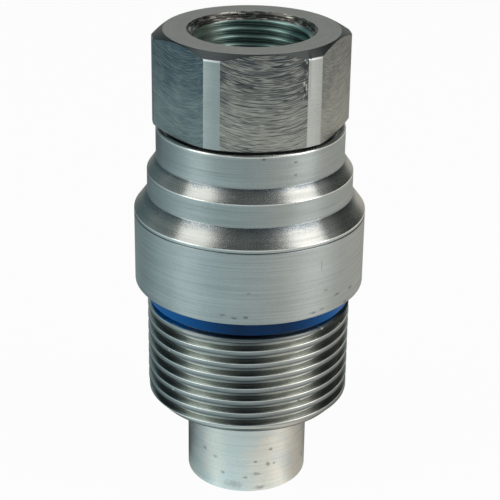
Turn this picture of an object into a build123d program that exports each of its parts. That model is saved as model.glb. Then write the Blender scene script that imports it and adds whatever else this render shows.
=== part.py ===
"""Nipple half of a screw-to-connect hydraulic coupling, standing on its nose.

Millimetres, +Z up. The origin is the centre of the nose's end face. The hexagon has one flat facing -Y.
Every piece is turned about the Z axis, apart from the hexagon, the guide's arms and the retaining ring.
"""

import os
from math import ceil, cos, pi, radians, sin, tan

from build123d import *

# Nose: the smooth probe that enters the other half.
nose_diameter = 26.9
nose_length = 20.1
nose_wall = 1.65
nose_tip_radius = 0.7
nose_root_radius = 0.8

# Outer thread: coarse trapezoidal, single start, right hand.
thread_diameter = 44.7
thread_pitch = 3.0
thread_depth = 1.6
thread_crest_flat = 1.18
thread_flank_angle = 15.0
thread_length = 23.0
thread_chamfer_length = 1.9
thread_end_drop = 0.2
thread_start_angle = -141.0
thread_overcut = 0.2

# Relief groove above the thread, which also seats the bumper ring.
relief_depth = 0.85
relief_length = 4.8

# Bumper ring between the thread and the large collar.
bumper_diameter = 44.4
bumper_height = 3.8
bumper_edge_radius = 0.5

# Collars, from the large one up to the one below the hexagon.
large_collar_diameter = 50.0
large_collar_length = 17.0
large_collar_edge = 0.4
marking_groove_width = 0.36
marking_groove_depth = 0.2
marking_groove_drop = 0.77
lower_cone_length = 3.8
middle_collar_diameter = 44.3
middle_collar_length = 4.95
upper_cone_length = 2.8
upper_collar_diameter = 40.4
upper_collar_length = 6.95
collar_root_radius = 0.35
collar_break = 0.25

# Rim of the upper collar and the screwed joint below it.
rim_width = 0.85
rim_edge_radius = 0.5
rim_bevel_depth = 1.1
joint_wall = 2.95
joint_thread_length = 10.5
joint_clearance = 0.05

# Seal land below the joint thread.
seal_step = 1.25
seal_land_length = 9.0
stop_ledge = 1.0
land_clearance = 0.1
adapter_groove_depth = 2.1
adapter_groove_width = 4.4
adapter_groove_drop = 2.2
adapter_backup_width = 1.3

# Valve chamber and seat.
guide_ledge = 1.1
chamber_cone_angle = 30.0
shoulder_thickness = 4.0
seat_bore_length = 4.0
seat_lip = 2.05
seat_gap = 0.2

# Hexagon end.
hex_sides = 6
hex_across_flats = 37.75
hex_across_corners = 41.7
hex_length = 20.5
hex_gap = 0.2
hex_top_face_diameter = 37.0
hex_top_chamfer_angle = 27.0
hex_bottom_face_diameter = 37.0
hex_bottom_chamfer_angle = 20.0

# Port in the hexagon end, bored for the thread of a three-quarter inch parallel pipe.
port_minor_diameter = 24.12
port_countersink_diameter = 27.14
port_depth = 18.0
port_cone_angle = 60.0

# Spigot below the hexagon.
spigot_wall = 3.4
spigot_chamfer = 0.6
neck_clearance = 0.5

# Poppet: flat-face valve head on a guided stem.
stroke = 10.0
face_recess = 0.3
head_clearance = 0.1
head_edge = 0.25
head_lip = 0.85
head_back_length = 2.6
head_groove_depth = 1.35
head_groove_front = 0.9
head_backup_width = 0.9
head_seal_width = 1.5
seal_clearance = 0.05
seal_rounding = 0.45
stem_diameter = 7.0
stem_clearance = 0.05
stem_overrun = 4.5
stem_chamfer = 0.6
stop_gap = 0.1

# Spring between the poppet and the guide.
spring_wire = 1.7
spring_length = 38.5
spring_turns = 6
spring_end_gap = 0.1
spring_play = 0.6
spring_points_a_turn = 12

# Guide: hub on three arms inside a ring.
guide_ring_height = 3.5
guide_ring_width = 2.1
guide_clearance = 0.05
hub_wall = 2.1
hub_length = 12.5
arm_count = 3
arm_width = 4.0
arm_overlap = 0.4

# Retaining ring above the guide.
retainer_thickness = 1.2
retainer_width = 2.0
retainer_groove_depth = 0.7
retainer_play = 0.1
retainer_gap_angle = 50.0
retainer_lug_angle = 8.0
retainer_lug_radius = 1.9
retainer_hole_radius = 0.8

# Heights of the outside, counted up from the nose's end face.
thread_top = nose_length + thread_length
relief_top = thread_top + relief_length
large_collar_top = relief_top + large_collar_length
middle_collar_bottom = large_collar_top + lower_cone_length
middle_collar_top = middle_collar_bottom + middle_collar_length
upper_collar_bottom = middle_collar_top + upper_cone_length
upper_collar_top = upper_collar_bottom + upper_collar_length
hex_bottom = upper_collar_top + hex_gap
hex_top = hex_bottom + hex_length

# Radii of the outside.
nose_radius = nose_diameter / 2
crest_radius = thread_diameter / 2
root_radius = crest_radius - thread_depth
relief_radius = root_radius - relief_depth
large_radius = large_collar_diameter / 2
middle_radius = middle_collar_diameter / 2
upper_radius = upper_collar_diameter / 2

# Inner radii and heights of the body, down from the joint and up from the nose.
joint_radius = upper_radius - joint_wall
seal_radius = joint_radius - seal_step
guide_radius = seal_radius - stop_ledge
chamber_radius = guide_radius - guide_ledge
nose_bore_radius = nose_radius - nose_wall
seat_radius = nose_bore_radius - seat_lip
joint_bottom = upper_collar_top - rim_bevel_depth - joint_thread_length
stop_height = joint_bottom - seal_land_length
chamber_cone_bottom = nose_length + shoulder_thickness

# Poppet heights, with the valve closed.
head_radius = seat_radius - head_clearance
lip_radius = head_radius + head_lip
shoulder_height = seat_bore_length - head_clearance + seat_gap
head_back = shoulder_height + head_lip + head_back_length
stem_radius = stem_diameter / 2
guide_bottom = head_back + spring_length
guide_top = guide_bottom + guide_ring_height
stem_top = guide_top + stem_overrun

# Guide and spring radii.
hub_bore_radius = stem_radius + stem_clearance
hub_radius = hub_bore_radius + hub_wall
hub_bottom = guide_top - hub_length
stop_shoulder = hub_bottom - stroke - stop_gap
spring_radius = hub_radius + spring_play + spring_wire / 2


def corner_arc(before, corner, after, rounding):
    """The arc of this radius that touches both sides of a corner."""
    back = (Vector(*before) - Vector(*corner)).normalized()
    onward = (Vector(*after) - Vector(*corner)).normalized()
    half_angle = radians(back.get_angle(onward)) / 2
    reach = rounding / tan(half_angle)
    depth = rounding / sin(half_angle) - rounding
    middle = Vector(*corner) + (back + onward).normalized() * depth
    return ThreePointArc(Vector(*corner) + back * reach, middle, Vector(*corner) + onward * reach)


def turned(*outline):
    """A solid of revolution about Z from its closed half section, given as (radius, height) points.
    A third number rounds the outline's corner there with that radius."""
    count = len(outline)
    ends = []
    edges = []
    for index, (radius, height, *rounding) in enumerate(outline):
        if rounding:
            before = outline[index - 1][:2]
            after = outline[(index + 1) % count][:2]
            arc = corner_arc(before, (radius, height), after, rounding[0])
            edges.append(arc)
            ends.append((arc @ 0, arc @ 1))
        else:
            ends.append((Vector(radius, height), Vector(radius, height)))
    for index, (start, _) in enumerate(ends):
        edges.append(Line(ends[index - 1][1], start))
    section = Plane.XZ * make_face(edges)
    return revolve(section, axis=Axis.Z)


def ring(inner, outer, low, high):
    """A plain ring of rectangular section."""
    return turned((inner, low), (outer, low), (outer, high), (inner, high))


def thread_turns():
    """What the outer thread's tool removes, one solid a turn: a trapezoid carried along a right-hand helix,
    narrow at the root and wide outside the crest. The first turn is in the open below the thread, and the
    last one runs out in the relief groove above it."""
    spread = tan(radians(thread_flank_angle))
    half_mouth = (thread_pitch - thread_crest_flat) / 2
    half_root = half_mouth - thread_depth * spread
    half_end = half_mouth + thread_overcut * spread
    reach = thread_depth + thread_overcut
    path = Helix(thread_pitch, thread_pitch, root_radius)
    section = Plane(path @ 0, x_dir=(1, 0, 0), z_dir=path % 0) * make_face(
        Polyline((0, -half_root), (reach, -half_end), (reach, half_end), (0, half_root), close=True)
    )
    turn = Rot(0, 0, thread_start_angle) * sweep(section, path=path, is_frenet=True)
    count = ceil((thread_length + half_end) / thread_pitch) + 1
    return [Pos(0, 0, nose_length + (step - 1) * thread_pitch) * turn for step in range(count)]


def valve_body():
    """Nose, threaded shank and stepped collars in one turned piece, bored through for the valve."""
    mark_middle = large_collar_top - marking_groove_drop
    mark_half = marking_groove_width / 2
    bevel_radius = upper_radius - rim_width
    cone_rise = (chamber_radius - nose_bore_radius) / tan(radians(chamber_cone_angle))
    seat_rise = nose_bore_radius - seat_radius
    body = turned(
        (seat_radius, 0),
        (nose_radius, 0, nose_tip_radius),
        (nose_radius, nose_length, nose_root_radius),
        (root_radius - thread_end_drop, nose_length),
        (crest_radius, nose_length + thread_chamfer_length),
        (crest_radius, thread_top),
        (relief_radius, thread_top),
        (relief_radius, relief_top),
        (large_radius - large_collar_edge, relief_top),
        (large_radius, relief_top + large_collar_edge),
        (large_radius, mark_middle - mark_half),
        (large_radius - marking_groove_depth, mark_middle),
        (large_radius, mark_middle + mark_half),
        (large_radius, large_collar_top, collar_break),
        (middle_radius, middle_collar_bottom, collar_root_radius),
        (middle_radius, middle_collar_top, collar_break),
        (upper_radius, upper_collar_bottom, collar_root_radius),
        (upper_radius, upper_collar_top, rim_edge_radius),
        (bevel_radius, upper_collar_top),
        (joint_radius, upper_collar_top - rim_bevel_depth),
        (joint_radius, joint_bottom),
        (seal_radius, joint_bottom),
        (seal_radius, stop_height),
        (guide_radius, stop_height),
        (guide_radius, guide_bottom),
        (chamber_radius, guide_bottom),
        (chamber_radius, chamber_cone_bottom + cone_rise),
        (nose_bore_radius, chamber_cone_bottom),
        (nose_bore_radius, seat_bore_length + seat_rise),
        (seat_radius, seat_bore_length),
    )
    retainer_groove = ring(
        guide_radius - retainer_play,
        guide_radius + retainer_groove_depth,
        guide_top,
        guide_top + retainer_thickness + retainer_play,
    )
    return body - retainer_groove - thread_turns()


def port_adapter():
    """Hexagon end with the female port, and the spigot that screws and seals into the body."""
    corner_radius = hex_across_corners / 2
    top_radius = hex_top_face_diameter / 2
    bottom_radius = hex_bottom_face_diameter / 2
    top_drop = (corner_radius - top_radius) * tan(radians(hex_top_chamfer_angle))
    bottom_rise = (corner_radius - bottom_radius) * tan(radians(hex_bottom_chamfer_angle))
    envelope = turned(
        (0, hex_bottom),
        (bottom_radius, hex_bottom),
        (corner_radius, hex_bottom + bottom_rise),
        (corner_radius, hex_top - top_drop),
        (top_radius, hex_top),
        (0, hex_top),
    )
    hexagon = RegularPolygon(hex_across_flats / 2, hex_sides, major_radius=False)
    head = envelope & (Pos(0, 0, hex_bottom) * extrude(hexagon, hex_length))

    screw_radius = joint_radius - joint_clearance
    neck_radius = joint_radius - neck_clearance
    land_radius = seal_radius - land_clearance
    groove_top = joint_bottom - adapter_groove_drop
    groove_bottom = groove_top - adapter_groove_width
    groove_radius = seal_radius - land_clearance - adapter_groove_depth
    bore_radius = groove_radius - spigot_wall
    port_radius = port_minor_diameter / 2
    port_bottom = hex_top - port_depth
    sink_radius = port_countersink_diameter / 2
    cone_drop = (port_radius - bore_radius) / tan(radians(port_cone_angle))
    spigot = turned(
        (0, stop_height),
        (land_radius - spigot_chamfer, stop_height),
        (land_radius, stop_height + spigot_chamfer),
        (land_radius, groove_bottom),
        (groove_radius, groove_bottom),
        (groove_radius, groove_top),
        (land_radius, groove_top),
        (land_radius, joint_bottom + joint_clearance),
        (screw_radius - spigot_chamfer, joint_bottom + joint_clearance),
        (screw_radius, joint_bottom + joint_clearance + spigot_chamfer),
        (screw_radius, upper_collar_top - rim_bevel_depth),
        (neck_radius, upper_collar_top - rim_bevel_depth),
        (neck_radius, hex_bottom),
        (0, hex_bottom),
    )
    hollow = turned(
        (0, stop_height),
        (bore_radius, stop_height),
        (bore_radius, port_bottom - cone_drop),
        (port_radius, port_bottom),
        (port_radius, hex_top - (sink_radius - port_radius)),
        (sink_radius, hex_top),
        (0, hex_top),
    )
    return head + spigot - hollow


def seal_ring(inner, outer, low, high):
    """A squeezed O-ring, flat where it touches its groove and round between."""
    rounding = seal_rounding * min(outer - inner, high - low)
    return turned(
        (inner, low, rounding),
        (outer, low, rounding),
        (outer, high, rounding),
        (inner, high, rounding),
    )


def adapter_seals():
    """The seal in the spigot's groove, with its backup ring on the side away from the pressure."""
    groove_top = joint_bottom - adapter_groove_drop
    groove_bottom = groove_top - adapter_groove_width
    floor = seal_radius - land_clearance - adapter_groove_depth
    backup_bottom = groove_top - adapter_backup_width
    seal = seal_ring(floor, seal_radius, groove_bottom + seal_clearance, backup_bottom - seal_clearance)
    backup = ring(floor + seal_clearance, seal_radius - seal_clearance, backup_bottom, groove_top)
    return seal, backup


def bumper_ring():
    """Soft ring that fills the relief groove below the large collar."""
    outer = bumper_diameter / 2
    bottom = relief_top - bumper_height
    return turned(
        (relief_radius, bottom),
        (outer, bottom, bumper_edge_radius),
        (outer, relief_top),
        (relief_radius, relief_top),
    )


def valve_poppet():
    """Flat valve head with its seal groove and conical lip, a thick stem that ends in the stop shoulder
    and carries the spring, and the thin stem that runs in the guide's hub."""
    groove_bottom = face_recess + head_groove_front
    groove_top = groove_bottom + head_backup_width + head_seal_width
    groove_radius = head_radius - head_groove_depth
    return turned(
        (0, face_recess),
        (head_radius - head_edge, face_recess),
        (head_radius, face_recess + head_edge),
        (head_radius, groove_bottom),
        (groove_radius, groove_bottom),
        (groove_radius, groove_top),
        (head_radius, groove_top),
        (head_radius, shoulder_height),
        (lip_radius, shoulder_height + head_lip),
        (spring_radius + spring_wire / 2, head_back),
        (hub_radius, head_back),
        (hub_radius, stop_shoulder - stem_chamfer),
        (hub_radius - stem_chamfer, stop_shoulder),
        (stem_radius, stop_shoulder),
        (stem_radius, stem_top - stem_chamfer),
        (stem_radius - stem_chamfer, stem_top),
        (0, stem_top),
    )


def poppet_seals():
    """The seal on the valve head and its backup ring, which lies in front of it."""
    groove_bottom = face_recess + head_groove_front
    backup_top = groove_bottom + head_backup_width
    groove_top = backup_top + head_seal_width
    floor = head_radius - head_groove_depth
    outer = seat_radius - seal_clearance
    seal = seal_ring(floor, outer, backup_top, groove_top)
    backup = ring(floor, outer, groove_bottom, backup_top)
    return seal, backup


def coil_height(turn):
    """Height of the spring wire's centre after this many turns: closed end coils, open ones between."""
    closed_pitch = spring_wire + spring_end_gap
    open_pitch = (spring_length - spring_wire - 2 * closed_pitch) / spring_turns
    open_turns = min(max(turn - 1, 0), spring_turns)
    return spring_wire / 2 + closed_pitch * (turn - open_turns) + open_pitch * open_turns


def valve_spring():
    """Compression spring with closed ends, seated on the valve head and under the guide."""
    point_count = (spring_turns + 2) * spring_points_a_turn + 1
    turns = [point / spring_points_a_turn for point in range(point_count)]
    path = Spline(
        [
            (spring_radius * cos(2 * pi * turn), spring_radius * sin(2 * pi * turn), coil_height(turn))
            for turn in turns
        ]
    )
    section = Plane(path @ 0, x_dir=(1, 0, 0), z_dir=path % 0) * Circle(spring_wire / 2)
    return Pos(0, 0, head_back) * sweep(section, path=path)


def valve_guide():
    """Ring on the body's ledge, with a long hub for the stem carried on arms."""
    outer = guide_radius - guide_clearance
    inner = outer - guide_ring_width
    rim = ring(inner, outer, guide_bottom, guide_top)
    hub = ring(hub_bore_radius, hub_radius, hub_bottom, guide_top)
    arm_inner = hub_radius - arm_overlap
    arm_length = inner + arm_overlap - arm_inner
    arm = Box(arm_length, arm_width, guide_ring_height, align=(Align.MIN, Align.CENTER, Align.MIN))
    for turn in range(arm_count):
        rim += Rot(0, 0, turn * 360 / arm_count) * Pos(arm_inner, 0, guide_bottom) * arm
    return rim + hub


def guide_retaining_ring():
    """Flat split ring with two lugs for pliers, sprung into the groove above the guide."""
    outer = guide_radius + retainer_groove_depth - retainer_play
    inner = guide_radius - retainer_width
    lug_middle = inner - retainer_lug_radius / 2
    half_gap = radians(retainer_gap_angle / 2)
    blank = Circle(outer) - Circle(inner)
    reach = 2 * outer
    side = reach * tan(half_gap)
    blank -= make_face(Polyline((0, 0), (reach, side), (reach, -side), close=True))
    lug_angle = retainer_gap_angle / 2 + retainer_lug_angle
    for angle in (lug_angle, -lug_angle):
        lug = Circle(retainer_lug_radius) - Circle(retainer_hole_radius)
        blank += Rot(0, 0, angle) * Pos(lug_middle, 0) * lug
        blank -= Rot(0, 0, angle) * Pos(lug_middle, 0) * Circle(retainer_hole_radius)
    return Pos(0, 0, guide_top) * extrude(blank, retainer_thickness)


def main():
    """Build every piece and write each to its own file."""
    adapter_o_ring, adapter_backup_ring = adapter_seals()
    poppet_o_ring, poppet_backup_ring = poppet_seals()
    pieces = {
        "valve_body": valve_body(),
        "port_adapter": port_adapter(),
        "adapter_o_ring": adapter_o_ring,
        "adapter_backup_ring": adapter_backup_ring,
        "bumper_ring": bumper_ring(),
        "valve_poppet": valve_poppet(),
        "poppet_o_ring": poppet_o_ring,
        "poppet_backup_ring": poppet_backup_ring,
        "valve_spring": valve_spring(),
        "valve_guide": valve_guide(),
        "guide_retaining_ring": guide_retaining_ring(),
    }
    os.makedirs("parts", exist_ok=True)
    for name, piece in pieces.items():
        piece.label = name
        export_step(piece, f"parts/{name}.step")


main()
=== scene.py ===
"""Looks of a hydraulic coupling nipple: bright zinc-plated steel, a blue bumper ring and the valve inside.

Metres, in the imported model's own frame: +Z up, the nose's end face at height 0, one hexagon flat facing -Y.
Sizes are given in millimetres and turned into metres where a mesh is made.
"""

from math import acos, cos, pi, radians, sin, tan

import bmesh
import bpy
import numpy as np
from mathutils import Matrix, Vector


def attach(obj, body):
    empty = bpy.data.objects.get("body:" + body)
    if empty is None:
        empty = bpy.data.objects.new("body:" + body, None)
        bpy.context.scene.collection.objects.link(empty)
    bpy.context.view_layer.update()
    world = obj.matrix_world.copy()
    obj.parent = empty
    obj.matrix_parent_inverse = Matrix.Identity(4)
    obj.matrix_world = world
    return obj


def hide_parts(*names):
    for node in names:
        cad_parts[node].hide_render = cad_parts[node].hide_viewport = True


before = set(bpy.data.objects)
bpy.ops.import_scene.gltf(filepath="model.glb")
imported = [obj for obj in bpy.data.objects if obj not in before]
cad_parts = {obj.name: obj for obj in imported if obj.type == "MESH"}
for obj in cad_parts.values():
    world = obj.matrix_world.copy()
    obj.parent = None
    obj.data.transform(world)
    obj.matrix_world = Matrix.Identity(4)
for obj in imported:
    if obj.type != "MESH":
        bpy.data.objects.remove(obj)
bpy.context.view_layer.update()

MM = 0.001

# The turned body, outside and inside.
NOSE_RADIUS = 13.45
NOSE_LENGTH = 20.1
NOSE_WALL = 1.65
CREST_RADIUS = 22.35
THREAD_PITCH = 3.0
THREAD_DEPTH = 1.6
THREAD_CREST_FLAT = 1.18
THREAD_FLANK_ANGLE = 15.0
THREAD_LENGTH = 23.0
THREAD_CHAMFER_LENGTH = 1.9
THREAD_END_DROP = 0.2
THREAD_START_ANGLE = -141.0
THREAD_ROUNDING = 0.13
RELIEF_DEPTH = 0.85
RELIEF_LENGTH = 4.8
LARGE_RADIUS = 25.0
LARGE_LENGTH = 17.0
LARGE_EDGE = 0.4
MARKING_GROOVE_WIDTH = 0.36
MARKING_GROOVE_DEPTH = 0.2
MARKING_GROOVE_DROP = 0.77
LOWER_CONE_LENGTH = 3.8
MIDDLE_RADIUS = 22.15
MIDDLE_LENGTH = 4.95
UPPER_CONE_LENGTH = 2.8
UPPER_RADIUS = 20.2
UPPER_LENGTH = 6.95
RIM_WIDTH = 0.85
RIM_BEVEL_DEPTH = 1.1
JOINT_RADIUS = 17.25
SEAL_RADIUS = 16.0
GUIDE_RADIUS = 15.0
CHAMBER_RADIUS = 13.9
CHAMBER_CONE_ANGLE = 30.0
SHOULDER_THICKNESS = 4.0
SEAT_RADIUS = 9.75
SEAT_LENGTH = 4.0
GUIDE_SEAT_HEIGHT = 46.05

# Hexagon end and its port.
HEX_FLAT = 37.75 / 2
HEX_CORNER = 41.7 / 2
HEX_BOTTOM = 83.6
HEX_TOP = 104.1
HEX_FACE_RADIUS = 18.5
HEX_TOP_CHAMFER = 27.0
HEX_BOTTOM_CHAMFER = 20.0
HEX_EDGE_SOFTNESS = 0.07
PORT_MINOR_RADIUS = 12.06
PORT_MAJOR_RADIUS = 13.22
PORT_SINK_RADIUS = 13.57
PORT_PITCH = 1.814
PORT_CREST_FLAT = 0.3
PORT_FLANK_ANGLE = 27.5
PORT_THREAD_LENGTH = 13.5
PORT_THREAD_START_ANGLE = 79.0
PORT_ROUNDING = 0.09
PORT_DEPTH = 18.0
PORT_CONE_ANGLE = 60.0
ADAPTER_BORE_RADIUS = 10.4
SCREW_RADIUS = 17.2
SCREW_GAP = 0.05
NECK_RADIUS = 16.75
LAND_RADIUS = 15.9
ADAPTER_GROOVE_RADIUS = 13.8
ADAPTER_GROOVE_TOP = 69.6
ADAPTER_GROOVE_BOTTOM = 65.2
STOP_HEIGHT = 62.8
JOINT_BOTTOM = 71.8

# Bumper ring.
BUMPER_RADIUS = 22.2
BUMPER_HEIGHT = 3.8

# Heights worked out from the lengths.
THREAD_TOP = NOSE_LENGTH + THREAD_LENGTH
RELIEF_TOP = THREAD_TOP + RELIEF_LENGTH
LARGE_TOP = RELIEF_TOP + LARGE_LENGTH
MIDDLE_BOTTOM = LARGE_TOP + LOWER_CONE_LENGTH
MIDDLE_TOP = MIDDLE_BOTTOM + MIDDLE_LENGTH
UPPER_BOTTOM = MIDDLE_TOP + UPPER_CONE_LENGTH
UPPER_TOP = UPPER_BOTTOM + UPPER_LENGTH
ROOT_RADIUS = CREST_RADIUS - THREAD_DEPTH
RELIEF_RADIUS = ROOT_RADIUS - RELIEF_DEPTH

# The photograph's camera: how far the hexagon is turned from it, its place and its lens in millimetres, its
# tilt and its roll.
VIEW_TURN = radians(7.93)
CAMERA_DISTANCE = 306.8
CAMERA_HEIGHT = 190.4
CAMERA_SIDE = 0.22
CAMERA_PITCH = radians(23.97)
CAMERA_ROLL = radians(0.793)
CAMERA_LENS = 109.97
SENSOR_WIDTH = 36.0

# Arcs that the milling cutter left on the flats: their radius and how far their middle is off the flat's.
# Of each kind of line there are so many a millimetre across the arcs, and so many along them.
MILLING_RADIUS = 19.0
MILLING_OFF_MIDDLE = 0.6
DARK_ARC_LINES = (2.1, 0.1)
LIGHT_ARC_LINES = (3.3, 0.16)
SCRATCH_LINES = (4.5, 0.4)

# The burr on the right edge of the front flat: lowest and highest point.
BURR_BOTTOM = 95.0
BURR_TOP = 103.0

# How many tool lines a millimetre of a turned face has, and how often a millimetre they change round it.
FINE_LINES = 4.6
BROAD_LINES = 1.1
HELICAL_LINES = 4.5
ADAPTER_LINES = 4.0
INNER_LINES = 3.0
BODY_LINE_CHANGE = 0.05
OTHER_LINE_CHANGE = 0.1

# Sizes of blotches in millimetres: stains of the plating, its grain, and the ragged edges of the marks.
STAIN_SIZE = 6.0
GRAIN_SIZE = 0.22
RAGGED_SIZE = 0.7
FLAT_STAIN_SIZE = 5.0
FLAT_GRAIN_SIZE = 0.35

# Heights of the relief in the metal's surface, in millimetres.
LINE_RELIEF = 0.012
GRAIN_RELIEF = 0.006
MILLING_RELIEF = 0.05
SCRATCH_RELIEF = 0.015

# Dark specks and rubs in the plating of the body: degrees from the camera's side, height, half width, half
# height and depth of shade.
BODY_MARKS = [
    (24.2, 10.7, 0.59, 0.42, 0.56),
    (9.0, 8.0, 0.51, 0.35, 0.48),
    (21.5, 7.0, 0.59, 0.7, 0.56),
    (28.0, 6.9, 0.42, 0.42, 0.48),
    (-31.5, 8.2, 0.68, 0.42, 0.4),
    (10.0, 4.8, 1.19, 0.49, 0.4),
    (-0.8, 3.9, 0.68, 0.42, 0.4),
    (-12.5, 2.0, 2.72, 1.12, 0.24),
    (13.8, 1.2, 1.53, 0.56, 0.4),
    (71.0, 5.0, 0.68, 0.84, 0.4),
    (-44.0, 9.4, 0.68, 0.56, 0.4),
    (-22.8, 4.6, 0.59, 0.42, 0.4),
    (37.1, 59.7, 0.2, 1.68, 0.4),
    (0.2, 55.3, 0.51, 0.28, 0.32),
    (40.2, 53.6, 0.85, 0.35, 0.4),
    (48.2, 51.5, 0.85, 0.35, 0.48),
    (60.0, 51.3, 1.02, 0.42, 0.48),
    (-12.5, 50.1, 0.85, 0.35, 0.4),
    (-6.5, 49.6, 0.85, 0.31, 0.48),
    (-1.0, 49.8, 0.68, 0.35, 0.48),
    (32.8, 49.2, 0.85, 0.35, 0.48),
    (38.2, 49.5, 0.68, 0.31, 0.48),
    (55.5, 48.7, 1.19, 0.35, 0.48),
    (7.8, 82.7, 0.51, 0.35, 0.48),
    (27.2, 81.5, 0.51, 0.42, 0.48),
    (27.5, 78.7, 0.42, 0.35, 0.4),
    (32.8, 26.4, 0.5, 0.4, 0.6),
]

# Bright nicks in the crests of the thread, in the same terms.
BRIGHT_NICKS = [
    (45.0, 42.9, 0.4, 0.4, 1.0),
    (-46.2, 27.5, 0.35, 0.35, 0.8),
    (-49.2, 36.6, 0.3, 0.3, 0.7),
]

# Where the painted shade in the thread's grooves and under its crests gives way to painted glints of the two
# soft boxes: degrees to each side of the camera's side.
THREAD_GLANCE = 28.0

# Colours as red, green and blue from 0 to 255.
BLACK = (0, 0, 0)
WHITE = (255, 255, 255)

# The body's plating, by zone:
COLLAR_PLATING = (198, 207, 208)
UPPER_PLATING = (190, 200, 201)
NOSE_BLUISH = (242, 249, 248)
NOSE_YELLOWISH = (250, 250, 244)
THREAD_PLATING = (204, 207, 202)
CREST_PLATING = (180, 188, 189)
# Painted shade on the lower part of each crest.
CREST_PAINTED_SHADE = (128, 136, 138)
# Painted shade under the crests, which gives way near the two glints.
CREST_UNDERSIDE_PAINTED_SHADE = (66, 72, 74)
# Painted shade in the roots of the thread.
ROOT_PAINTED_SHADE = (102, 108, 109)
# Painted shade on the downward-facing chamfer where the thread starts.
THREAD_FOOT_PAINTED_SHADE = (96, 102, 104)
CONE_PLATING = (220, 220, 215)
# Painted shade towards the top of each cone.
CONE_PAINTED_SHADE = (136, 148, 158)
# Bright edges: partly wear, partly painted highlight.
WORN_AND_HIGHLIGHT = (250, 251, 248)

# The hexagon's plating, by face:
MILLED_LOW = (170, 175, 170)
# Painted shade towards the top of the flats.
MILLED_TOP_PAINTED_SHADE = (92, 100, 107)
# Painted reflection: a cool tint on the left flat.
MILLED_LEFT_PAINTED_REFLECTION = (128, 170, 188)
DARK_ARC = (62, 68, 74)
LIGHT_ARC = (226, 228, 220)
BURR_DARK = (92, 94, 92)
BURR_BRIGHT = (232, 234, 230)
STRIP_PLATING = (188, 195, 194)
# Painted highlight along the top edges of the corner strips.
STRIP_EDGE_HIGHLIGHT = (246, 250, 250)
CHAMFER_PLATING = (102, 107, 106)
TOP_PLATING = (188, 188, 183)
SINK_DARK = (112, 108, 104)
SINK_BRIGHT = (236, 232, 220)
PORT_CREST = (192, 224, 218)
# Painted light on the port thread's left wall.
PORT_CREST_LEFT_PAINTED_LIGHT = (246, 252, 240)
# Painted shade in the roots of the port's thread.
PORT_ROOT_PAINTED_SHADE = (84, 98, 96)

# The blue ring, in front and at its sides:
BLUE_DARK = (0, 41, 80)
BLUE_LIGHT = (2, 60, 112)
# Painted light on the ring's sides.
BLUE_SIDE_PAINTED_LIGHT = (4, 108, 188)

# Seals and backup rings:
RUBBER_DARK = (18, 18, 19)
RUBBER_LIGHT = (34, 34, 35)
PLASTIC_DARK = (214, 208, 190)
PLASTIC_LIGHT = (230, 226, 212)

# Inner steel pieces: node, material, colour and roughness.
INNER_STEELS = [
    ("valve_poppet", "valve_steel", (176, 178, 176), 0.3),
    ("valve_guide", "guide_steel", (160, 166, 166), 0.4),
    ("valve_spring", "spring_steel", (120, 122, 126), 0.3),
    ("guide_retaining_ring", "ring_steel", (70, 72, 76), 0.45),
]

# The room that the metal mirrors. Its walls and ceiling in front of the object and behind it:
CEILING_FRONT = (74, 82, 84)
CEILING_BACK_LEFT = (68, 92, 98)
CEILING_BACK_RIGHT = (26, 29, 28)
WALL_FRONT = (205, 208, 206)
WALL_BACK = (128, 139, 139)
# Patches on the walls: azimuth and half width in degrees, and colour.
WALL_PATCHES = [
    (118, 42, (58, 61, 59)),
    (-140, 36, (84, 104, 110)),
    (180, 34, (172, 173, 168)),
]

# The height in metres that the lamps are aimed at.
LAMP_AIM = 0.05

# Soft boxes: name, azimuth and elevation in degrees, distance, width and height in metres, power in watts
# and colour.
SOFT_BOXES = [
    ("left_box", -63, 36, 0.7, 0.36, 1.0, 1.3, (0.98, 1.0, 0.98)),
    ("right_box", 66.5, 36, 0.7, 0.37, 1.0, 1.7, (1.0, 0.99, 0.97)),
    ("back_box", 180, 55, 0.8, 0.6, 0.3, 0.8, (1.0, 1.0, 1.0)),
]

# The floor: its glow to the left and right of the object, its lit surface, half its width in metres, and
# how much of the glow the camera and the mirror rays see, next to the lit surface.
FLOOR_LEFT = (228, 252, 255)
FLOOR_RIGHT = (255, 247, 235)
FLOOR_SURFACE = (230, 230, 230)
FLOOR_HALF = 4.0
CAMERA_SHARE = 0.96
MIRROR_SHARE = 0.9

# What the metal mirrors of the floor's glow, as radii in millimetres between which it changes: the painted
# bright foot ends, the painted shadow under the collars begins and ends, and the far floor falls off.
FOOT_END = (20, 42)
SHADOW_START = (20, 56)
SHADOW_END = (75, 115)
FAR_FALL = (240, 370)

# Turned steel spreads a reflection across its tool lines, which run round the axis.
LATHE_SHEEN = {"Anisotropic": 0.8, "Anisotropic Rotation": 0.25}

# Mesh fineness: columns round the body, how far beside a corner its holding row lies in millimetres, the
# share of an edge that a corner may take, steps of a rounded corner, places of the points on a corner of a
# thread, and the distance in metres up to which points are one.
BODY_COLUMNS = 288
HOLD = 0.04
CORNER_SHARE = 0.45
ARC_STEPS = 3
THREAD_ARC_PLACES = (0.0, 0.35, 0.65, 1.0)
MERGE_DISTANCE = 3e-7

# Columns round the hexagon: places beside each edge of a flat in millimetres, and how many lie between.
EDGE_PLACES = (-0.3, -0.22, -0.15, -0.07, 0.0, 0.07, 0.15, 0.22, 0.3)
FLAT_COLUMNS = 21
STRIP_COLUMNS = 3


def srgb(red, green, blue):
    """A colour given as 0 to 255 display values, as linear red, green, blue and full alpha."""
    values = np.array([red, green, blue]) / 255.0
    linear = np.where(values > 0.04045, ((values + 0.055) / 1.055) ** 2.4, values / 12.92)
    return (*[float(channel) for channel in linear], 1.0)


def on_arc(corner, back, onward, t):
    """The point at t, from 0 to 1, of the parabola that rounds a corner P between P + b and P + o:
    (1-t)^2 (P+b) + 2t(1-t) P + t^2 (P+o)."""
    return (1 - t) ** 2 * (corner + back) + 2 * t * (1 - t) * corner + t**2 * (corner + onward)


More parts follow.
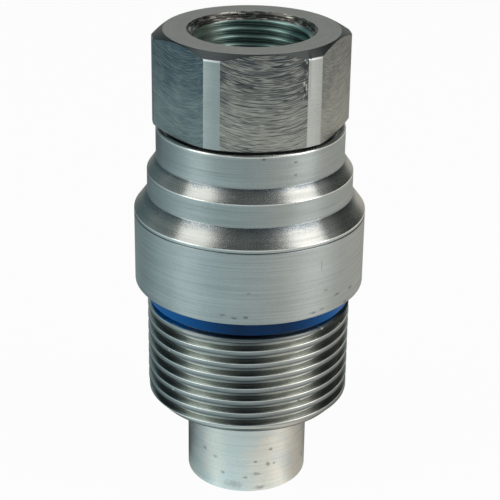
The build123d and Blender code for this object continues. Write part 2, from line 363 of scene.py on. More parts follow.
def outline_rows(corners, columns):
    """Rows of a turned surface from the corners of its half section. A corner is (radius, height, reach),
    and radius and height may differ from column to column.

    Each corner becomes an arc that starts and ends at the corner's reach towards its neighbours, and one
    more row outside each end holds the flat beside it. A corner with no reach is kept, between two holding
    rows."""
    points = np.stack(
        [
            np.stack([np.broadcast_to(radius, columns), np.broadcast_to(height, columns)], axis=-1)
            for radius, height, _ in corners
        ]
    ).astype(float)
    to_before = np.roll(points, 1, axis=0) - points
    to_after = np.roll(points, -1, axis=0) - points
    before_length = np.linalg.norm(to_before, axis=-1, keepdims=True)
    after_length = np.linalg.norm(to_after, axis=-1, keepdims=True)
    rows = []
    for index, (_, _, wanted) in enumerate(corners):
        corner = points[index]
        room = np.minimum(before_length[index], after_length[index]) * CORNER_SHARE
        reach = np.minimum(wanted, room)
        hold = np.minimum(reach + HOLD, room)
        back = to_before[index] / before_length[index]
        onward = to_after[index] / after_length[index]
        rows.append(corner + back * hold)
        if wanted:
            for t in np.linspace(0, 1, ARC_STEPS + 1):
                rows.append(on_arc(corner, back * reach, onward * reach, t))
        else:
            rows.append(corner)
        rows.append(corner + onward * hold)
    return np.stack(rows)


def thread_rows(angles, section, pitch, start_angle, low, high, radius_limit):
    """Rows of a helical thread on columns at these angles, clamped between two heights.

    A row keeps one point (offset along the pitch, radius) of the thread's section and climbs by one pitch
    a turn: height = offset + pitch (turn + (angle - start) / 2 pi). Rows that leave the threaded length are
    clamped to its end, with the radius that the section has there."""
    offsets, radii = np.array(section).T
    turns = np.arange(-2, int((high - low) / pitch) + 2)
    row_offsets = (offsets[None, :] + pitch * turns[:, None]).ravel()
    climb = pitch * (angles - start_angle) / (2 * pi)
    heights = low + row_offsets[:, None] + climb[None, :]
    clamped = np.clip(heights, low, high)
    phase = np.mod(clamped - low - climb[None, :] - offsets[0], pitch) + offsets[0]
    ends = np.append(offsets, offsets[0] + pitch)
    row_radii = np.interp(phase, ends, np.append(radii, radii[0]))
    return np.stack([radius_limit(row_radii, clamped), clamped], axis=-1)


def turned_mesh(name, rows, angles):
    """A closed mesh from rows of (radius, height) in mm on columns at these angles. A point lies at
    x = radius cos(angle) and y = radius sin(angle). The first row follows the last."""
    radius = rows[..., 0]
    height = rows[..., 1]
    grid = np.stack([radius * np.cos(angles), radius * np.sin(angles), height], axis=-1) * MM
    row_count, column_count = radius.shape
    index = np.arange(row_count * column_count).reshape(row_count, column_count)
    following = np.roll(index, -1, axis=0)
    quads = np.stack([index[:, :-1], index[:, 1:], following[:, 1:], following[:, :-1]], axis=-1)
    mesh = bpy.data.meshes.new(name)
    mesh.from_pydata(grid.reshape(-1, 3), [], quads.reshape(-1, 4).tolist())
    tidy_mesh(mesh)
    piece = bpy.data.objects.new(name, mesh)
    bpy.context.scene.collection.objects.link(piece)
    return piece


def tidy_mesh(mesh):
    """Merges doubles, drops faces without area, shades smooth and turns the faces outwards."""
    work = bmesh.new()
    work.from_mesh(mesh)
    bmesh.ops.remove_doubles(work, verts=work.verts, dist=MERGE_DISTANCE)
    bmesh.ops.dissolve_degenerate(work, edges=work.edges, dist=MERGE_DISTANCE)
    if work.calc_volume(signed=True) < 0:
        bmesh.ops.reverse_faces(work, faces=work.faces)
    for face in work.faces:
        face.smooth = True
    work.to_mesh(mesh)
    work.free()
    mesh.update()


def thread_section(root, crest, half_root, half_mouth, pitch, rounding):
    """One pitch of a thread's section as (offset, radius) points, from the middle of the root: root, flank,
    crest and flank, with each corner cut by a short arc."""
    flank_run = half_mouth - half_root
    flank = np.array([flank_run, crest - root])
    step = flank / np.linalg.norm(flank) * rounding
    points = []
    for corner, back, onward in (
        ((half_root, root), (-rounding, 0), step),
        ((half_mouth, crest), -step, (rounding, 0)),
        ((pitch - half_mouth, crest), (-rounding, 0), (step[0], -step[1])),
        ((pitch - half_root, root), (-step[0], step[1]), (rounding, 0)),
    ):
        for t in THREAD_ARC_PLACES:
            points.append(on_arc(np.array(corner), np.array(back), np.array(onward), t))
    return points


def valve_body_piece():
    """The turned body: its half section goes up the outside from the seat and down through the bore."""
    angles = np.linspace(-pi, pi, BODY_COLUMNS + 1)
    mark_middle = LARGE_TOP - MARKING_GROOVE_DROP
    mark_half = MARKING_GROOVE_WIDTH / 2
    nose_bore = NOSE_RADIUS - NOSE_WALL
    cone_bottom = NOSE_LENGTH + SHOULDER_THICKNESS
    cone_rise = (CHAMBER_RADIUS - nose_bore) / tan(radians(CHAMBER_CONE_ANGLE))
    bevel_radius = UPPER_RADIUS - RIM_WIDTH
    below = [
        (nose_bore, SEAT_LENGTH + nose_bore - SEAT_RADIUS, 0),
        (SEAT_RADIUS, SEAT_LENGTH, 0),
        (SEAT_RADIUS, 0, 0.1),
        (NOSE_RADIUS, 0, 0.75),
        (NOSE_RADIUS, NOSE_LENGTH, 0.8),
        (ROOT_RADIUS - THREAD_END_DROP, NOSE_LENGTH, 0),
    ]
    above = [
        (RELIEF_RADIUS, THREAD_TOP, 0.2),
        (RELIEF_RADIUS, RELIEF_TOP, 0),
        (LARGE_RADIUS - LARGE_EDGE, RELIEF_TOP, 0.12),
        (LARGE_RADIUS, RELIEF_TOP + LARGE_EDGE, 0.12),
        (LARGE_RADIUS, mark_middle - mark_half, 0.06),
        (LARGE_RADIUS - MARKING_GROOVE_DEPTH, mark_middle, 0.05),
        (LARGE_RADIUS, mark_middle + mark_half, 0.06),
        (LARGE_RADIUS, LARGE_TOP, 0.14),
        (MIDDLE_RADIUS, MIDDLE_BOTTOM, 0.18),
        (MIDDLE_RADIUS, MIDDLE_TOP, 0.14),
        (UPPER_RADIUS, UPPER_BOTTOM, 0.18),
        (UPPER_RADIUS, UPPER_TOP, 0.45),
        (bevel_radius, UPPER_TOP, 0.1),
        (JOINT_RADIUS, UPPER_TOP - RIM_BEVEL_DEPTH, 0),
        (JOINT_RADIUS, JOINT_BOTTOM, 0),
        (SEAL_RADIUS, JOINT_BOTTOM, 0),
        (SEAL_RADIUS, STOP_HEIGHT, 0),
        (GUIDE_RADIUS, STOP_HEIGHT, 0),
        (GUIDE_RADIUS, GUIDE_SEAT_HEIGHT, 0),
        (CHAMBER_RADIUS, GUIDE_SEAT_HEIGHT, 0),
        (CHAMBER_RADIUS, cone_bottom + cone_rise, 0),
        (nose_bore, cone_bottom, 0),
    ]
    crest_end = [(CREST_RADIUS, THREAD_TOP, 0)]
    plain = outline_rows(below + crest_end + above, len(angles))
    plain_below = plain[: outline_row_count(below)]
    plain_above = plain[outline_row_count(below + crest_end) :]
    spread = tan(radians(THREAD_FLANK_ANGLE))
    half_mouth = (THREAD_PITCH - THREAD_CREST_FLAT) / 2
    half_root = half_mouth - THREAD_DEPTH * spread
    section = thread_section(
        ROOT_RADIUS, CREST_RADIUS, half_root, half_mouth, THREAD_PITCH, THREAD_ROUNDING
    )
    chamfer_start = ROOT_RADIUS - THREAD_END_DROP
    chamfer_slope = (CREST_RADIUS - chamfer_start) / THREAD_CHAMFER_LENGTH

    def within_chamfer(radius, height):
        """The radius, kept inside the chamfer at the thread's start."""
        return np.minimum(radius, chamfer_start + (height - NOSE_LENGTH) * chamfer_slope)

    thread = thread_rows(
        angles, section, THREAD_PITCH, radians(THREAD_START_ANGLE), NOSE_LENGTH, THREAD_TOP, within_chamfer
    )
    rows = np.concatenate([plain_below, thread, plain_above])
    return turned_mesh("valve_body_skin", rows, angles)


def outline_row_count(corners):
    """How many rows outline_rows makes of these corners."""
    return sum(ARC_STEPS + 3 if reach else 3 for _, _, reach in corners)


def hexagon_angles():
    """Columns round the hexagon, from the left edge of the flat that faces -Y: close together at the edges
    between flats and corner strips, even in between."""
    edge = acos(HEX_FLAT / HEX_CORNER)
    near = np.array(EDGE_PLACES) / HEX_CORNER
    flat = np.linspace(-edge - near[0], edge + near[0], FLAT_COLUMNS + 2)[1:-1]
    strip = np.linspace(edge + near[-1], pi / 3 - edge + near[0], STRIP_COLUMNS + 2)[1:-1]
    sector = np.concatenate([-edge + near, flat, edge + near, strip])
    centres = -pi / 2 + np.arange(6) * pi / 3
    angles = (centres[:, None] + sector[None, :]).ravel()
    return np.append(angles, angles[0] + 2 * pi)


def hexagon_radius(angles):
    """Plan of the hexagon: the smaller of flat distance / cos(angle from the flat's middle) and the corner
    radius, with a polynomial smooth minimum that rounds the edge between them."""
    from_flat = np.mod(angles + pi / 2 + pi / 6, pi / 3) - pi / 6
    flat = HEX_FLAT / np.cos(from_flat)
    blend = np.maximum(HEX_EDGE_SOFTNESS - np.abs(flat - HEX_CORNER), 0) / HEX_EDGE_SOFTNESS
    return np.minimum(flat, HEX_CORNER) - blend**2 * HEX_EDGE_SOFTNESS / 4


def port_adapter_piece():
    """Hexagon end: up the spigot's outside, over the hexagon, and down through the threaded port."""
    angles = hexagon_angles()
    side = hexagon_radius(angles)
    top_edge = HEX_TOP - (side - HEX_FACE_RADIUS) * tan(radians(HEX_TOP_CHAMFER))
    bottom_edge = HEX_BOTTOM + (side - HEX_FACE_RADIUS) * tan(radians(HEX_BOTTOM_CHAMFER))
    cone_drop = (PORT_MINOR_RADIUS - ADAPTER_BORE_RADIUS) / tan(radians(PORT_CONE_ANGLE))
    port_bottom = HEX_TOP - PORT_DEPTH
    thread_bottom = HEX_TOP - PORT_THREAD_LENGTH
    outside = [
        (ADAPTER_BORE_RADIUS, STOP_HEIGHT, 0),
        (LAND_RADIUS, STOP_HEIGHT, 0.4),
        (LAND_RADIUS, ADAPTER_GROOVE_BOTTOM, 0),
        (ADAPTER_GROOVE_RADIUS, ADAPTER_GROOVE_BOTTOM, 0),
        (ADAPTER_GROOVE_RADIUS, ADAPTER_GROOVE_TOP, 0),
        (LAND_RADIUS, ADAPTER_GROOVE_TOP, 0),
        (LAND_RADIUS, JOINT_BOTTOM + SCREW_GAP, 0),
        (SCREW_RADIUS, JOINT_BOTTOM + SCREW_GAP, 0.4),
        (SCREW_RADIUS, UPPER_TOP - RIM_BEVEL_DEPTH, 0),
        (NECK_RADIUS, UPPER_TOP - RIM_BEVEL_DEPTH, 0),
        (NECK_RADIUS, HEX_BOTTOM, 0),
        (HEX_FACE_RADIUS, HEX_BOTTOM, 0.1),
        (side, bottom_edge, 0.12),
        (side, top_edge, 0.12),
        (HEX_FACE_RADIUS, HEX_TOP, 0.16),
        (PORT_SINK_RADIUS, HEX_TOP, 0.1),
    ]
    inside = [
        (PORT_MINOR_RADIUS, thread_bottom, 0),
        (PORT_MINOR_RADIUS, port_bottom, 0),
        (ADAPTER_BORE_RADIUS, port_bottom - cone_drop, 0),
    ]
    plain = outline_rows(outside + inside, len(angles))
    plain_outside = plain[: outline_row_count(outside)]
    plain_below_thread = plain[outline_row_count(outside) + 1 :]
    depth = PORT_MAJOR_RADIUS - PORT_MINOR_RADIUS
    half_crest = PORT_CREST_FLAT / 2
    half_root = half_crest + depth * tan(radians(PORT_FLANK_ANGLE))
    section = thread_section(
        PORT_MINOR_RADIUS, PORT_MAJOR_RADIUS, half_crest, half_root, PORT_PITCH, PORT_ROUNDING
    )

    def within_countersink(radius, height):
        """The radius, kept outside the cone of the countersink."""
        return np.maximum(radius, PORT_SINK_RADIUS - (HEX_TOP - height))

    crest_start = radians(PORT_THREAD_START_ANGLE) + pi
    thread_top = HEX_TOP - (PORT_SINK_RADIUS - PORT_MAJOR_RADIUS)
    thread = thread_rows(
        angles, section, PORT_PITCH, crest_start, thread_bottom, thread_top, within_countersink
    )
    rows = np.concatenate([plain_outside, thread[::-1], plain_below_thread])
    return turned_mesh("port_adapter_skin", rows, angles)


def bumper_ring_piece():
    """Blue ring: a rounded rectangle turned about Z, seated in the relief groove."""
    angles = np.linspace(-pi, pi, BODY_COLUMNS + 1)
    bottom = RELIEF_TOP - BUMPER_HEIGHT
    corners = [
        (RELIEF_RADIUS, bottom, 0),
        (BUMPER_RADIUS, bottom, 0.45),
        (BUMPER_RADIUS, RELIEF_TOP, 0.2),
        (RELIEF_RADIUS, RELIEF_TOP, 0),
    ]
    return turned_mesh("bumper_ring_skin", outline_rows(corners, len(angles)), angles)


class Value:
    """A socket of a shader's tree. Arithmetic on it adds Math nodes."""

    def __init__(self, tree, socket):
        self.tree = tree
        self.socket = socket

    def math(self, operation, *others):
        """One Math node with this value first."""
        return self.tree.node("ShaderNodeMath", {"operation": operation}, dict(enumerate((self, *others))))

    def __add__(self, other):
        return self.math("ADD", other)

    __radd__ = __add__

    def __mul__(self, other):
        return self.math("MULTIPLY", other)

    __rmul__ = __mul__

    def __sub__(self, other):
        return self.math("SUBTRACT", other)

    def __rsub__(self, other):
        return self * -1 + other

    def __truediv__(self, other):
        return self.math("DIVIDE", other)

    def __abs__(self):
        return self.math("ABSOLUTE")

    def clamped(self):
        """The value kept between 0 and 1."""
        return self.tree.node("ShaderNodeClamp", {}, {0: self})

    def rises(self, low, high):
        """0 below low, 1 above high, smooth between."""
        settings = {"interpolation_type": "SMOOTHSTEP"}
        return self.tree.node("ShaderNodeMapRange", settings, {0: self, 1: low, 2: high})

    def within(self, low, high, soft):
        """1 between low and high, fading to 0 over the soft width outside them."""
        return self.rises(low - soft, low) * (1 - self.rises(high, high + soft))


class Tree:
    """A shader tree under construction."""

    def __init__(self, node_tree):
        self.tree = node_tree
        self.tree.nodes.clear()

    def node(self, kind, settings, inputs, output=0):
        """Adds a node of this type, sets its settings, then the values or links of its sockets, and gives
        back one output if the node has any."""
        made = self.tree.nodes.new(kind)
        for key, value in settings.items():
            setattr(made, key, value)
        for key, value in inputs.items():
            if isinstance(value, Value):
                self.tree.links.new(value.socket, made.inputs[key])
            else:
                made.inputs[key].default_value = value
        return Value(self, made.outputs[output]) if made.outputs else None

    def mixed(self, factor, first, second):
        """A colour that goes from first to second with the factor. Each is a Value, or 0 to 255 values."""
        ends = [end if isinstance(end, Value) else srgb(*end) for end in (first, second)]
        return self.node("ShaderNodeMix", {"data_type": "RGBA"}, {0: factor, 6: ends[0], 7: ends[1]}, 2)

    def noise(self, vector, scale, detail, roughness):
        """Noise from 0 to 1 at this many features a unit of the vector."""
        sockets = {"Vector": vector, "Scale": scale, "Detail": detail, "Roughness": roughness}
        return self.node("ShaderNodeTexNoise", {}, sockets)

    def vector(self, x, y, z):
        """A vector of three numbers."""
        return self.node("ShaderNodeCombineXYZ", {}, {0: x, 1: y, 2: z})


class Finish(Tree):
    """A material's tree. Its places are in millimetres: height, radius, and the angle round the axis in
    radians, from the side that faces -Y, positive towards +X."""

    def __init__(self, name):
        self.material = bpy.data.materials.new(name)
        self.material.use_nodes = True
        super().__init__(self.material.node_tree)
        place = self.node("ShaderNodeTexCoord", {}, {}, "Object")
        parts = [self.node("ShaderNodeSeparateXYZ", {}, {0: place}, axis) for axis in range(3)]
        self.x, self.y, self.height = [part * (1 / MM) for part in parts]
        self.radius = (self.x * self.x + self.y * self.y).math("SQRT")
        self.angle = self.x.math("ARCTAN2", self.y * -1)
        self.along = self.radius + self.height

    def turning_lines(self, across, around=OTHER_LINE_CHANGE):
        """Lines that a tool leaves on a turned face: noise fine along the section, long around the axis."""
        vector = self.vector(self.x * around, self.y * around, self.along * across)
        return self.noise(vector, 1.0, 3.0, 0.6)

    def cloud(self, size, detail=2.0):
        """Blotches of about this size in mm."""
        return self.noise(self.vector(self.x, self.y, self.height), 1 / size, detail, 0.55)

    def bump(self, height, distance, normal=None):
        """A normal tilted by a height field, whose full swing is the distance in mm, on top of another
        normal if one is given."""
        sockets = {"Height": height, "Distance": distance * MM, "Strength": 1.0}
        if normal is not None:
            sockets["Normal"] = normal
        return self.node("ShaderNodeBump", {}, sockets)

    def main_shader(self, colour, roughness, metallic, normal, **constant):
        """The main shader: what varies goes to its colour, roughness and normal."""
        sockets = {"Base Color": colour, "Roughness": roughness, "Metallic": metallic, "Normal": normal}
        return self.node("ShaderNodeBsdfPrincipled", {}, {**sockets, **constant})

    def closed(self, surface):
        """The material, with this shader at its output."""
        self.node("ShaderNodeOutputMaterial", {}, {"Surface": surface})
        return self.material

    def finish(self, colour, roughness, metallic, normal, **constant):
        """The material, with one main shader."""
        return self.closed(self.main_shader(colour, roughness, metallic, normal, **constant))


def surface_marks(steel, marks, wobble):
    """Sum of marks on the body: each is an ellipse on the surface whose edge wobbles with a noise."""
    total = 0
    for degrees, height, half_width, half_height, depth in marks:
        along = (steel.angle - (radians(degrees) - VIEW_TURN)) * steel.radius / half_width
        up = (steel.height - height) / half_height
        reach = (along * along + up * up).math("SQRT") + wobble
        total = (1 - reach.rises(0.2, 1.2)) * depth + total
    return total.clamped()


def body_steel():
    """Zinc-plated turned steel: each zone of the body has its own shade and polish, with turning lines,
    stains on the nose and dark marks. Edges are rubbed bright by wear and carry painted highlights, the
    crests' upper edges too. The thread has painted shade in its grooves, under its crests and at its foot,
    left out where it would catch a soft box; the cones have painted shade towards their tops, and the marking
    groove is painted darker."""
    steel = Finish("zinc_plated_body")
    cloud = steel.cloud(STAIN_SIZE)
    speck = steel.cloud(GRAIN_SIZE, 1.0)
    nose = 1 - steel.height.rises(NOSE_LENGTH - 0.05, NOSE_LENGTH)
    thread = steel.height.within(NOSE_LENGTH, RELIEF_TOP - 0.05, 0.05)
    crest = thread * steel.radius.rises(CREST_RADIUS - 0.25, CREST_RADIUS - 0.02)
    climb = (steel.angle - (pi / 2 + radians(THREAD_START_ANGLE))) * (THREAD_PITCH / (2 * pi))
    phase = (steel.height - NOSE_LENGTH - climb).math("FLOORED_MODULO", THREAD_PITCH)
    crest_end = (THREAD_PITCH + THREAD_CREST_FLAT) / 2
    crest_start = (THREAD_PITCH - THREAD_CREST_FLAT) / 2
    # Painted shade: each crest darkens towards its lower edge.
    crest_painted_shade = crest * (1 - phase.rises(crest_start + 0.1, crest_start + 0.8))
    # Painted highlight along the upper edge of each crest.
    crest_edge_highlight = thread * phase.within(crest_end - 0.12, crest_end + 0.1, 0.05)
    # 1 away from the painted glints and 0 on them; the thread's painted shade is multiplied by it.
    beyond_painted_glint = abs(abs(steel.angle + VIEW_TURN) - radians(THREAD_GLANCE)).rises(radians(4), radians(26))
    # Painted shade under each crest, left out near the two glints.
    crest_under_painted_shade = thread * phase.within(crest_start - 0.3, crest_start + 0.15, 0.12) * beyond_painted_glint
    # Painted shade in the thread's roots, left out near the two glints.
    root_painted_shade = thread * (1 - steel.radius.rises(ROOT_RADIUS + 0.02, ROOT_RADIUS + 0.3)) * beyond_painted_glint
    # Painted shade on the chamfer at the thread's foot.
    thread_foot_painted_shade = thread * (1 - steel.height.rises(NOSE_LENGTH + 0.1, NOSE_LENGTH + 0.7))
    way_round = [place * OTHER_LINE_CHANGE for place in (steel.x, steel.y)]
    helical = steel.noise(steel.vector(*way_round, phase * HELICAL_LINES), 1.0, 3.0, 0.6)
    turned = steel.turning_lines(FINE_LINES, BODY_LINE_CHANGE)
    fine = turned + (helical - turned) * thread
    fine = 0.5 + (fine - 0.5) * (1 - nose * 0.5)
    broad = steel.turning_lines(BROAD_LINES, BODY_LINE_CHANGE)
    lower_cone = steel.height.within(LARGE_TOP + 0.1, MIDDLE_BOTTOM - 0.1, 0.1)
    upper_cone = steel.height.within(MIDDLE_TOP + 0.1, UPPER_BOTTOM - 0.1, 0.1)
    cone = lower_cone + upper_cone
    up_cone = lower_cone * (steel.height - LARGE_TOP) / LOWER_CONE_LENGTH
    up_cone = up_cone + upper_cone * (steel.height - MIDDLE_TOP) / UPPER_CONE_LENGTH
    # Painted shade: each cone darkens towards its top, with a speckled edge.
    cone_painted_shade = cone * (up_cone + (speck - 0.5) * 1.1 + (cloud - 0.5) * 0.6).rises(0.6, 1.1)
    upper = steel.height.rises(MIDDLE_BOTTOM, MIDDLE_BOTTOM + 0.2)
    # Bright lines on the rim, the collars' edges and the crests: partly wear, partly painted highlight.
    wear_and_highlight = steel.height.within(UPPER_TOP - 0.4, UPPER_TOP, 0.08) + crest_edge_highlight
    for edge in (LARGE_TOP, MIDDLE_TOP):
        wear_and_highlight = wear_and_highlight + steel.height.within(edge - 0.14, edge + 0.04, 0.06)
    colour = steel.mixed(upper, COLLAR_PLATING, UPPER_PLATING)
    stained = steel.mixed(cloud.rises(0.42, 0.58), NOSE_BLUISH, NOSE_YELLOWISH)
    zones = [
        (nose, stained),
        (thread, THREAD_PLATING),
        (crest, CREST_PLATING),
        (crest_painted_shade, CREST_PAINTED_SHADE),
        (crest_under_painted_shade.clamped(), CREST_UNDERSIDE_PAINTED_SHADE),
        (root_painted_shade, ROOT_PAINTED_SHADE),
        (thread_foot_painted_shade, THREAD_FOOT_PAINTED_SHADE),
        (cone, CONE_PLATING),
        (cone_painted_shade, CONE_PAINTED_SHADE),
    ]
    # A later zone lies over the earlier ones.
    for zone, plating in zones:
        colour = steel.mixed(zone, colour, plating)
    smooth = thread * 0.8 + wear_and_highlight.clamped() * 0.7
    grain = (speck - 0.5) * (1 - smooth).clamped()
    shade = 0.86 + (broad - 0.5) * 0.22 + (fine - 0.5) * 0.6 + grain * 0.3 + (cloud - 0.5) * 0.2
    wobble = (steel.cloud(RAGGED_SIZE) - 0.5) * 1.6
    shade = shade * (1 - surface_marks(steel, BODY_MARKS, wobble))
    mark_middle = LARGE_TOP - MARKING_GROOVE_DROP
    # Painted shade: the marking groove is darkened in colour as well as cut.
    groove = steel.height.within(mark_middle - 0.06, mark_middle + 0.06, 0.08)
    colour = steel.mixed((shade * (1 - groove * 0.6)).clamped(), BLACK, colour)
    bright = wear_and_highlight + surface_marks(steel, BRIGHT_NICKS, wobble * 0.5)
    colour = steel.mixed(bright.clamped(), colour, WORN_AND_HIGHLIGHT)
    polished = cone * 0.17 + (thread - crest) * 0.2 + wear_and_highlight * 0.16
    roughness = 0.42 - polished + (cloud - 0.5) * 0.1 + grain * 0.16
    normal = steel.bump(fine * (1 - cone * 0.6), LINE_RELIEF)
    normal = steel.bump(grain, GRAIN_RELIEF, normal)
    return steel.finish(colour, roughness, 1.0, normal, **LATHE_SHEEN)


def adapter_steel():
    """Zinc-plated hexagon: milled flats with thin arcs of the cutter and painted shade towards their tops,
    the left one bluish with a painted reflection, brushed corner strips with a painted highlight on their top
    edges, an evenly dull top face, a bright countersink, a greenish thread in the port with painted shade in
    its roots and painted light on its left wall, and a burr on one edge."""
    steel = Finish("zinc_plated_adapter")
    sector = (steel.angle * (3 / pi)).math("ROUND")
    from_flat = steel.angle - sector * (pi / 3)
    across = steel.radius * from_flat.math("SINE")
    outward = steel.radius * from_flat.math("COSINE")
    half_flat = HEX_FLAT * tan(acos(HEX_FLAT / HEX_CORNER))
    flat = outward.rises(HEX_FLAT - 0.03, HEX_FLAT - 0.005)
    flat = flat * (1 - abs(across).rises(half_flat - 0.1, half_flat))
    off_middle = across - MILLING_OFF_MIDDLE
    sweep = (MILLING_RADIUS**2 - off_middle * off_middle).math("SQRT") + steel.height

    def arcs(lines, shift, layer, detail):
        """Noise in thin arcs. Each flat has its own stretch of it by the shift or the layer."""
        close, run = lines
        return steel.noise(steel.vector(sweep * close, across * run + shift, layer), 1.0, detail, 0.6)

    strokes = arcs(DARK_ARC_LINES, sector * 7.3, 0.0, 2.0)
    dark_arcs = (1 - abs(strokes - 0.46) * 13).clamped()
    light_arcs = (1 - abs(arcs(LIGHT_ARC_LINES, sector * 3.1, 4.0, 1.0) - 0.53) * 12).clamped()
    scratches = arcs(SCRATCH_LINES, 0.0, sector, 2.0)
    stain = steel.cloud(FLAT_STAIN_SIZE)
    speck = steel.cloud(FLAT_GRAIN_SIZE, 1.0)
    top = steel.height.rises(HEX_TOP - 0.05, HEX_TOP - 0.01)
    below_sink = 1 - steel.height.rises(HEX_TOP - 1.6, HEX_TOP - 1.4)
    port = 1 - steel.radius.rises(PORT_SINK_RADIUS + 0.02, PORT_SINK_RADIUS + 0.1)
    thread = port * below_sink
    side = 1 - (1 - flat) * (1 - steel.radius.rises(HEX_CORNER - 0.2, HEX_CORNER - 0.05))
    chamfer = (1 - side) * (1 - top) * (1 - port)
    fine = steel.turning_lines(ADAPTER_LINES)
    # Painted shade: each flat darkens towards its top, less on the right one, with stains breaking its edge.
    up_flat_painted_shade = ((steel.height - HEX_BOTTOM) / (HEX_TOP - HEX_BOTTOM) + (stain - 0.5) * 0.8).rises(0.2, 0.85)
    left, front, right = [1 - abs(sector - number).rises(0.2, 0.8) for number in (-1, 0, 1)]
    milled = steel.mixed(up_flat_painted_shade * (1 - right * 0.3), MILLED_LOW, MILLED_TOP_PAINTED_SHADE)
    # Painted reflection: the left flat takes a bluish tint.
    milled = steel.mixed(left * 0.3, milled, MILLED_LEFT_PAINTED_REFLECTION)
    milled = steel.mixed(dark_arcs * (0.4 + front * 0.4), milled, DARK_ARC)
    milled = steel.mixed(light_arcs * (0.3 + front * 0.4), milled, LIGHT_ARC)
    nicks = steel.noise(steel.vector(across * 1.2, steel.height * 0.6, 2.0), 1.0, 4.0, 0.7)
    burr = front * across.within(half_flat - 0.9, half_flat + 0.2, 0.3)
    burr = burr * steel.height.within(BURR_BOTTOM, BURR_TOP, 1.0)
    milled = steel.mixed(burr * nicks.rises(0.5, 0.6), milled, BURR_DARK)
    milled = steel.mixed(burr * (1 - nicks.rises(0.36, 0.44)), milled, BURR_BRIGHT)
    strip_top = HEX_TOP - (HEX_CORNER - HEX_FACE_RADIUS) * tan(radians(HEX_TOP_CHAMFER))
    # Painted highlight along the top edge of each corner strip.
    strip_edge_highlight = steel.radius.rises(HEX_CORNER - 0.3, HEX_CORNER - 0.1) * (1 - flat)
    strip_edge_highlight = strip_edge_highlight * steel.height.within(strip_top - 0.3, strip_top + 0.05, 0.05)
    streaks = steel.noise(steel.vector(steel.x * 0.5, steel.y * 0.5, steel.along * 1.6), 1.0, 2.0, 0.6)
    sink = steel.mixed(streaks.rises(0.5, 0.66), SINK_DARK, SINK_BRIGHT)
    # Painted shade in the roots of the port's thread, less on its left wall.
    depth = steel.radius.rises(PORT_MINOR_RADIUS + 0.2, PORT_MAJOR_RADIUS - 0.1)
    # Painted light: the port's left wall is lighter.
    left_wall_painted_light = (steel.x * -1 / steel.radius).rises(0.1, 0.9)
    lit = steel.mixed(left_wall_painted_light, PORT_CREST, PORT_CREST_LEFT_PAINTED_LIGHT)
    groove = steel.mixed(depth * (0.75 - left_wall_painted_light * 0.5), lit, PORT_ROOT_PAINTED_SHADE)
    colour = steel.mixed(flat, STRIP_PLATING, milled)
    faces = [
        (chamfer, CHAMFER_PLATING),
        (top, TOP_PLATING),
        (strip_edge_highlight, STRIP_EDGE_HIGHLIGHT),
        (port, sink),
        (thread, groove),
    ]
    # A later face lies over the earlier ones.
    for face, plating in faces:
        colour = steel.mixed(face, colour, plating)
    shade = 0.9 + (fine - 0.5) * 0.3 + (stain - 0.5) * 0.16 + (speck - 0.5) * 0.2
    colour = steel.mixed(shade.clamped(), BLACK, colour)
    roughness = 0.36 + (stain - 0.5) * 0.1 - port * 0.08 + thread * 0.04 + chamfer * 0.06
    normal = steel.bump((strokes * 0.6 + light_arcs * 0.3) * flat + burr * nicks * 2, MILLING_RELIEF)
    normal = steel.bump(scratches * flat + fine * (1 - flat) * 0.4, SCRATCH_RELIEF, normal)
    brushed = steel.main_shader(colour, roughness, 1.0, normal, **LATHE_SHEEN)
    dull = steel.main_shader(colour, 0.46, 1.0, steel.bump(fine, GRAIN_RELIEF))
    return steel.closed(steel.node("ShaderNodeMixShader", {}, {0: top, 1: brushed, 2: dull}))


def blue_polyurethane():
    """Moulded blue ring with a soft gloss, faint handling marks, and painted light that makes its sides
    lighter.
    """
    blue = Finish("blue_polyurethane")
    cloud = blue.cloud(3.0)
    colour = blue.mixed(cloud, BLUE_DARK, BLUE_LIGHT)
    # Painted light: the ring is lighter at its sides.
    beside = abs(blue.x / blue.radius).rises(0.2, 0.9)
    colour = blue.mixed(beside, colour, BLUE_SIDE_PAINTED_LIGHT)
    normal = blue.bump(blue.cloud(0.6), 0.01)
    gloss = {"Specular IOR Level": 0.16}
    return blue.finish(colour, 0.38 + (cloud - 0.5) * 0.15, 0.0, normal, **gloss)


def plain_steel(name, colour, roughness):
    """Machined steel of an inner piece, with faint turning lines."""
    steel = Finish(name)
    fine = steel.turning_lines(INNER_LINES)
    shade = 0.92 + (fine - 0.5) * 0.2
    tinted = steel.mixed(shade.clamped(), BLACK, colour)
    patchy = roughness + (steel.cloud(4.0) - 0.5) * 0.1
    return steel.finish(tinted, patchy, 1.0, steel.bump(fine, GRAIN_RELIEF))


def seal_rubber():
    """Black sealing rubber, dull, with a fine grain."""
    rubber = Finish("seal_rubber")
    cloud = rubber.cloud(0.8)
    colour = rubber.mixed(cloud, RUBBER_DARK, RUBBER_LIGHT)
    return rubber.finish(colour, 0.55 + (cloud - 0.5) * 0.2, 0.0, rubber.bump(cloud, 0.01))


def backup_plastic():
    """Ivory low-friction plastic of the backup rings."""
    plastic = Finish("backup_plastic")
    cloud = plastic.cloud(2.0)
    colour = plastic.mixed(cloud, PLASTIC_DARK, PLASTIC_LIGHT)
    return plastic.finish(colour, 0.4 + (cloud - 0.5) * 0.1, 0.0, plastic.bump(cloud, 0.01))


def dress(piece, body, slot, material, *replaced):
    """Gives a new piece its material and body, and hides the nodes that it stands for. The slot is not used.
    """
    piece.data.materials.append(material)
    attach(piece, body)
    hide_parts(*replaced)


def paint(node, material):
    """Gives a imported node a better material."""
    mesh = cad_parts[node].data
    mesh.materials.clear()
    mesh.materials.append(material)


